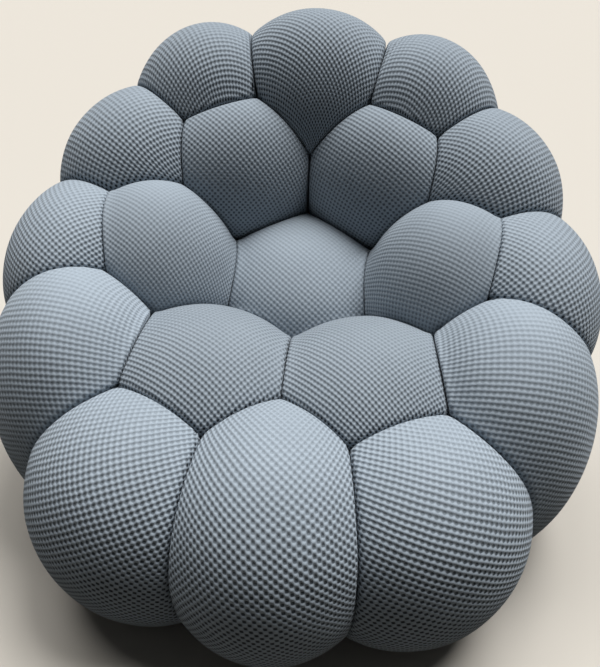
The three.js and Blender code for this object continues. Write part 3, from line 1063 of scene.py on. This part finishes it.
# Painted shade: the holes' share of dark colour grows from 0.2 where the surface faces up to full on
# steep sides
steep_painted_shade = add_node(
    tree, "ShaderNodeMapRange",
    {
        "Value": facing_parts.outputs["Z"],
        "From Min": 0.98, "From Max": 0.25, "To Min": 0.2, "To Max": 1.0,
    },
)
opening = add_node(tree, "ShaderNodeAttribute", attribute_name="opening")
hole_open = add_node(
    tree, "ShaderNodeMath",
    {0: hole.outputs["Result"], 1: opening.outputs["Fac"]},
    operation="MULTIPLY",
)
hole_and_painted_shade = add_node(
    tree, "ShaderNodeMath",
    {0: hole_open.outputs["Value"], 1: steep_painted_shade.outputs["Result"]},
    operation="MULTIPLY",
)
yarn_shade = add_node(
    tree, "ShaderNodeMapRange",
    {"Value": yarn.outputs["Fac"], "From Min": 0.3, "From Max": 0.7, "To Min": 0.9, "To Max": 1.08},
)
melange = add_node(
    tree, "ShaderNodeTexNoise",
    {"Vector": place.outputs["UV"], "Scale": 1 / melange_size, "Detail": 3.0},
)
rib_colour = add_node(
    tree, "ShaderNodeMix",
    {"Factor": melange.outputs["Fac"], "A": linear("#9AA5AF"), "B": linear("#A8B3BD")},
    data_type="RGBA",
)
# The dark hole colour, with its painted shade on steep sides, mixed into the rib colour
knit_colour = add_node(
    tree, "ShaderNodeMix",
    {"Factor": hole_and_painted_shade.outputs["Value"], "A": rib_colour.outputs["Result"], "B": linear("#20262D")},
    data_type="RGBA",
)
# Painted light and shade: each cover's yarn colour is scaled by its own level, lighter or darker for how
# the light falls on that bubble
paleness = add_node(tree, "ShaderNodeAttribute", attribute_name="paleness")
yarn_with_painted_light = add_node(
    tree, "ShaderNodeMath",
    {0: yarn_shade.outputs["Result"], 1: paleness.outputs["Fac"]},
    operation="MULTIPLY",
)
toned = add_node(
    tree, "ShaderNodeVectorMath",
    {0: knit_colour.outputs["Result"], "Scale": yarn_with_painted_light.outputs["Value"]},
    operation="SCALE",
)
swell = add_node(
    tree, "ShaderNodeMapRange",
    {"Value": net.outputs["Value"], "From Min": -1 - cross_rib_share, "From Max": 1 + cross_rib_share},
)
open_swell = add_node(
    tree, "ShaderNodeMath",
    {0: swell.outputs["Result"], 1: opening.outputs["Fac"]},
    operation="MULTIPLY",
)
height = add_node(
    tree, "ShaderNodeMath",
    {0: yarn.outputs["Fac"], 1: 0.08, 2: open_swell.outputs["Value"]},
    operation="MULTIPLY_ADD",
)
knit_relief = add_node(
    tree, "ShaderNodeBump",
    {"Height": height.outputs["Value"], "Strength": 1.0, "Distance": knit_depth},
)
knit_shader = add_node(
    tree, "ShaderNodeBsdfPrincipled",
    {
        "Base Color": toned.outputs["Vector"],
        "Roughness": 0.9,
        "IOR": 1.45,
        "Specular IOR Level": 0.2,
        "Sheen Weight": 0.3,
        "Sheen Roughness": 0.5,
        "Sheen Tint": linear("#DDE6EE"),
        "Normal": knit_relief.outputs["Normal"],
    },
)
show_finish(tree, knit_shader)

for name in balls:
    points, faces = cover_mesh(name)
    cover = add_piece(f"{name}_cover", points, faces, stretch_knit)
    add_places(cover, "knit", knit_places(points, name))
    # Each cover keeps how open its holes are and its level of painted light and shade
    for look, value in zip(("opening", "paleness"), cover_knits[name][2:]):
        attribute = cover.data.attributes.new(look, "FLOAT", "POINT")
        attribute.data.foreach_set("value", np.full(len(cover.data.vertices), value))
    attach(cover, "root")
    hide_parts(name)

# Floor and light
# A plain pale floor that throws little light back. Two wide soft lamps stand high behind the chair, the
# stronger one to the viewer's right, and a faint even glow fills the rest.
floor_half = 7.0
floor_level = 0.0
floor_paint, tree = new_finish("pale_floor_paint")
path = add_node(tree, "ShaderNodeLightPath")
seen = add_node(
    tree, "ShaderNodeMix",
    {"Factor": path.outputs["Is Camera Ray"], "A": linear("#57544F"), "B": linear("#CFC9BF")},
    data_type="RGBA",
)
floor_shader = add_node(
    tree, "ShaderNodeBsdfPrincipled",
    {"Base Color": seen.outputs["Result"], "Roughness": 0.9, "Specular IOR Level": 0.2},
)
show_finish(tree, floor_shader)
floor_corners = [(-1, -1), (1, -1), (1, 1), (-1, 1)]
floor_points = [(x * floor_half, y * floor_half, floor_level) for x, y in floor_corners]
floor = add_piece("floor", floor_points, [(0, 1, 2, 3)], floor_paint)

world = bpy.data.worlds.new("pale_room")
world.use_nodes = True
tree = world.node_tree
tree.nodes.clear()
path = add_node(tree, "ShaderNodeLightPath")
glow = add_node(tree, "ShaderNodeBackground", {"Color": linear("#E8EDF2"), "Strength": 0.03})
wall = add_node(tree, "ShaderNodeBackground", {"Color": linear("#E6E1D8"), "Strength": 1.0})
either = add_node(
    tree, "ShaderNodeMath",
    {0: path.outputs["Is Camera Ray"], 1: path.outputs["Is Glossy Ray"]},
    operation="MAXIMUM",
)
mixed = add_node(
    tree, "ShaderNodeMixShader",
    {0: either.outputs["Value"], 1: glow.outputs["Background"], 2: wall.outputs["Background"]},
)
add_node(tree, "ShaderNodeOutputWorld", {"Surface": mixed.outputs["Shader"]})
bpy.context.scene.world = world

# Each lamp's height above the horizon and its turn from straight behind the chair to the viewer's right,
# in degrees, and its strength
lamps = {
    "high_right": (65, 45, 3.25),
    "high_left": (65, -45, 1.3),
}
lamp_spread = 35
for name, (high, turn, strength) in lamps.items():
    lamp_data = bpy.data.lights.new(name, "SUN")
    lamp_data.angle = math.radians(lamp_spread)
    lamp_data.energy = strength
    lamp = bpy.data.objects.new(name, lamp_data)
    bpy.context.scene.collection.objects.link(lamp)
    lamp.rotation_euler = (math.radians(90 - high), 0, math.radians(180 - turn))

bpy.context.scene.view_settings.view_transform = "Standard"
